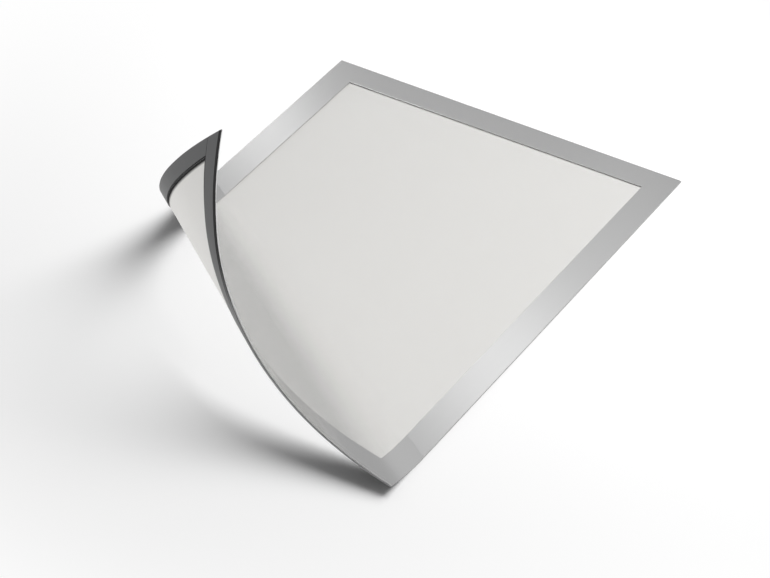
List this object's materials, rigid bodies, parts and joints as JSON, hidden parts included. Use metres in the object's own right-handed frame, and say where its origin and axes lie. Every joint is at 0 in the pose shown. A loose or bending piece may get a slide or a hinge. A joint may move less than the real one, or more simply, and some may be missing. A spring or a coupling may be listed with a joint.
{
  "type": "magnetic photo frame",
  "caption": "Flexible magnetic frame: silver border, clear window film over a loose insert sheet, and magnet strips behind; a corner peels up and unrolls flat.",
  "frame": {"origin": "centre of the frame's flat back face, on the surface that it lies on", "axes": "+X along the short side, +Y along the long side, +Z out of the front; the lower left corner is the curled one"},
  "size_m": [0.2367, 0.3225, 0.1152],
  "materials": {
    "silver_border": "satin metallic silver film",
    "window_film": "clear, non-glare",
    "insert_paper": "plain white",
    "magnet_strip": "matte charcoal"
  },
  "bodies": {
    "sheet": {"front_border_flat": "silver_border", "insert_sheet_flat": "insert_paper", "left_magnet_strip_flat": "magnet_strip", "right_magnet_strip_flat": "magnet_strip", "top_magnet_strip": "magnet_strip", "window_film_flat": "window_film"},
    "curl_1": {"front_border_curl_1": "silver_border", "insert_sheet_curl_1": "insert_paper", "left_magnet_strip_curl_1": "magnet_strip", "right_magnet_strip_curl_1": "magnet_strip", "window_film_curl_1": "window_film"},
    "curl_2": {"bottom_magnet_strip_curl_2": "magnet_strip", "front_border_curl_2": "silver_border", "insert_sheet_curl_2": "insert_paper", "left_magnet_strip_curl_2": "magnet_strip", "right_magnet_strip_curl_2": "magnet_strip", "window_film_curl_2": "window_film"},
    "curl_3": {"bottom_magnet_strip_curl_3": "magnet_strip", "front_border_curl_3": "silver_border", "insert_sheet_curl_3": "insert_paper", "left_magnet_strip_curl_3": "magnet_strip", "window_film_curl_3": "window_film"},
    "curl_4": {"bottom_magnet_strip_curl_4": "magnet_strip", "front_border_curl_4": "silver_border", "insert_sheet_curl_4": "insert_paper", "left_magnet_strip_curl_4": "magnet_strip", "window_film_curl_4": "window_film"},
    "curl_5": {"bottom_magnet_strip_curl_5": "magnet_strip", "front_border_curl_5": "silver_border", "insert_sheet_curl_5": "insert_paper", "left_magnet_strip_curl_5": "magnet_strip", "window_film_curl_5": "window_film"},
    "curl_6": {"bottom_magnet_strip_curl_6": "magnet_strip", "front_border_curl_6": "silver_border", "insert_sheet_curl_6": "insert_paper", "left_magnet_strip_curl_6": "magnet_strip", "window_film_curl_6": "window_film"},
    "curl_7": {"bottom_magnet_strip_curl_7": "magnet_strip", "front_border_curl_7": "silver_border", "insert_sheet_curl_7": "insert_paper", "left_magnet_strip_curl_7": "magnet_strip", "window_film_curl_7": "window_film"},
    "curl_8": {"bottom_magnet_strip_curl_8": "magnet_strip", "front_border_curl_8": "silver_border", "insert_sheet_curl_8": "insert_paper", "left_magnet_strip_curl_8": "magnet_strip", "window_film_curl_8": "window_film"},
    "curl_9": {"bottom_magnet_strip_curl_9": "magnet_strip", "front_border_curl_9": "silver_border", "insert_sheet_curl_9": "insert_paper", "left_magnet_strip_curl_9": "magnet_strip", "window_film_curl_9": "window_film"},
    "curl_10": {"bottom_magnet_strip_curl_10": "magnet_strip", "front_border_curl_10": "silver_border", "left_magnet_strip_curl_10": "magnet_strip", "window_film_curl_10": "window_film"}
  },
  "joints": [
    {"name": "corner_bend_1", "type": "hinge", "parent": "sheet", "child": "curl_1", "pos_m": [0, -0.054, 0], "axis": [-0.8488, 0.5287, 0], "range_deg": [-4.51, 2]},
    {"name": "corner_bend_2", "type": "hinge", "parent": "curl_1", "child": "curl_2", "pos_m": [0.00002, -0.06577, 0.00079], "axis": [-0.8389, 0.5443, -0.0015], "range_deg": [-9.03, 4]},
    {"name": "corner_bend_3", "type": "hinge", "parent": "curl_2", "child": "curl_3", "pos_m": [0.00018, -0.07761, 0.00317], "axis": [-0.829, 0.5593, -0.0058], "range_deg": [-11.79, 5.23]},
    {"name": "corner_bend_4", "type": "hinge", "parent": "curl_3", "child": "curl_4", "pos_m": [-0.01388, -0.08567, 0.01001], "axis": [-0.8135, 0.5813, -0.0185], "range_deg": [-14.55, 6.45]},
    {"name": "corner_bend_5", "type": "hinge", "parent": "curl_4", "child": "curl_5", "pos_m": [-0.02822, -0.09037, 0.01999], "axis": [-0.7995, 0.5995, -0.0376], "range_deg": [-14.55, 6.45]},
    {"name": "corner_bend_6", "type": "hinge", "parent": "curl_5", "child": "curl_6", "pos_m": [-0.03973, -0.09314, 0.03242], "axis": [-0.788, 0.6126, -0.0618], "range_deg": [-14.55, 6.45]},
    {"name": "corner_bend_7", "type": "hinge", "parent": "curl_6", "child": "curl_7", "pos_m": [-0.04821, -0.09362, 0.04649], "axis": [-0.7797, 0.6197, -0.0895], "range_deg": [-14.55, 6.45]},
    {"name": "corner_bend_8", "type": "hinge", "parent": "curl_7", "child": "curl_8", "pos_m": [-0.05354, -0.09166, 0.06133], "axis": [-0.7751, 0.6205, -0.1189], "range_deg": [-14.55, 6.45]},
    {"name": "corner_bend_9", "type": "hinge", "parent": "curl_8", "child": "curl_9", "pos_m": [-0.05568, -0.08728, 0.07606], "axis": [-0.7746, 0.6149, -0.1482], "range_deg": [-14.74, 6.54]},
    {"name": "corner_bend_10", "type": "hinge", "parent": "curl_9", "child": "curl_10", "pos_m": [-0.05325, -0.07563, 0.10104], "axis": [-0.7806, 0.5931, -0.1972], "range_deg": [-10.34, 4.58]}
  ],
  "couplings": [
    {"joint": "corner_bend_2", "follows": "corner_bend_1", "ratio": 2},
    {"joint": "corner_bend_3", "follows": "corner_bend_1", "ratio": 2.6119},
    {"joint": "corner_bend_4", "follows": "corner_bend_1", "ratio": 3.2239},
    {"joint": "corner_bend_5", "follows": "corner_bend_1", "ratio": 3.2239},
    {"joint": "corner_bend_6", "follows": "corner_bend_1", "ratio": 3.2239},
    {"joint": "corner_bend_7", "follows": "corner_bend_1", "ratio": 3.2239},
    {"joint": "corner_bend_8", "follows": "corner_bend_1", "ratio": 3.2239},
    {"joint": "corner_bend_9", "follows": "corner_bend_1", "ratio": 3.2669},
    {"joint": "corner_bend_10", "follows": "corner_bend_1", "ratio": 2.2914}
  ]
}
